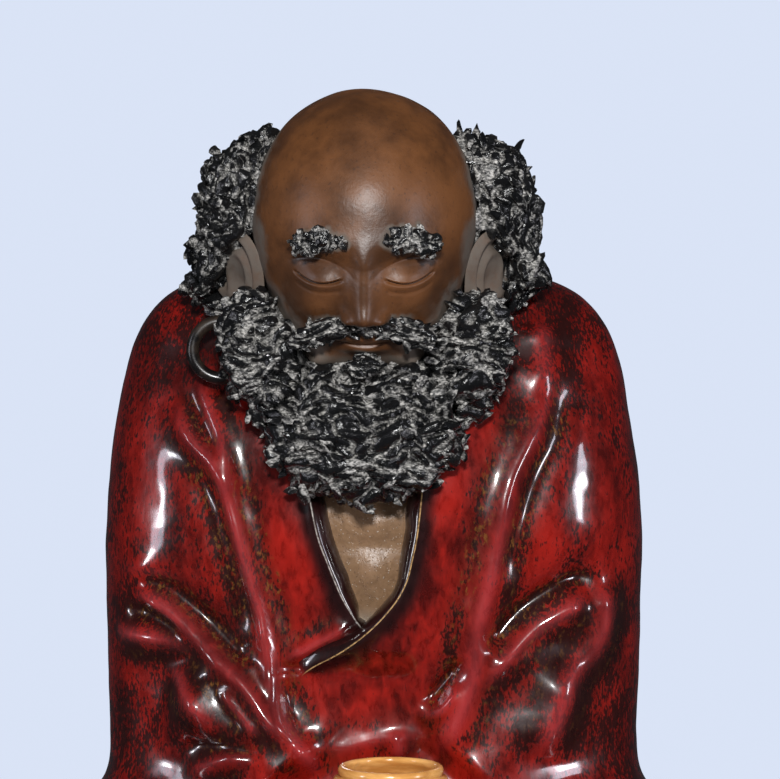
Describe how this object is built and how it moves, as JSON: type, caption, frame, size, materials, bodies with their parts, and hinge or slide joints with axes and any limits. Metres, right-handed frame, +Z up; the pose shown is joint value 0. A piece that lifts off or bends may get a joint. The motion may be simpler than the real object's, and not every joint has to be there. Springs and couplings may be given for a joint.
{
  "type": "seated arhat figurine",
  "caption": "Seated ceramic arhat figure in a flowing glazed robe, with clay hair and beard, a swinging ring earring and an alms bowl that lifts off the hands.",
  "frame": {"origin": "centre of the outline's box, on the surface that the figure stands on", "axes": "+X to the viewer's right, -Y the way the figure faces, +Z up"},
  "size_m": [0.2362, 0.162, 0.2947],
  "materials": {
    "red_glaze": "glossy flambe copper red, streaked with maroon and black",
    "skin_clay": "unglazed brown clay with a burnished satin surface",
    "hair_clay": "black crumbled clay with grey dust in its crevices",
    "chest_clay": "unglazed buff clay with fine grog",
    "base_clay": "raw fired clay",
    "honey_glaze": "glossy honey amber glaze",
    "dark_ring": "smooth dark brown clay with a satin sheen"
  },
  "bodies": {
    "statue": {"base_plate": "base_clay", "lap_drape": "red_glaze", "robe_back": "red_glaze", "robe_right_front": "red_glaze", "robe_left_front": "red_glaze", "right_sleeve": "red_glaze", "left_sleeve": "red_glaze", "right_cuff": "red_glaze", "left_cuff": "red_glaze", "right_collar_band": "red_glaze", "left_collar_band": "red_glaze", "back_collar_band": "red_glaze", "bare_torso": "chest_clay", "neck": "skin_clay", "head": "skin_clay", "right_ear": "skin_clay", "left_ear": "skin_clay", "right_eyebrow": "hair_clay", "left_eyebrow": "hair_clay", "right_hair": "hair_clay", "left_hair": "hair_clay", "back_hair": "hair_clay", "right_whiskers": "hair_clay", "left_whiskers": "hair_clay", "chin_beard": "hair_clay", "right_moustache": "hair_clay", "left_moustache": "hair_clay", "lip_tuft": "hair_clay", "right_hand": "skin_clay", "left_hand": "skin_clay"},
    "earring": {"earring": "dark_ring"},
    "bowl": {"alms_bowl": "honey_glaze"}
  },
  "joints": [
    {"name": "earring_swing", "type": "hinge", "parent": "statue", "child": "earring", "pos_m": [-0.04719, -0.02413, 0.21228], "axis": [1, 0, 0], "range_deg": [-10, 10]},
    {"name": "bowl_lift", "type": "slide", "parent": "statue", "child": "bowl", "axis": [0, 0, 1], "range_m": [0, 0.05]}
  ]
}
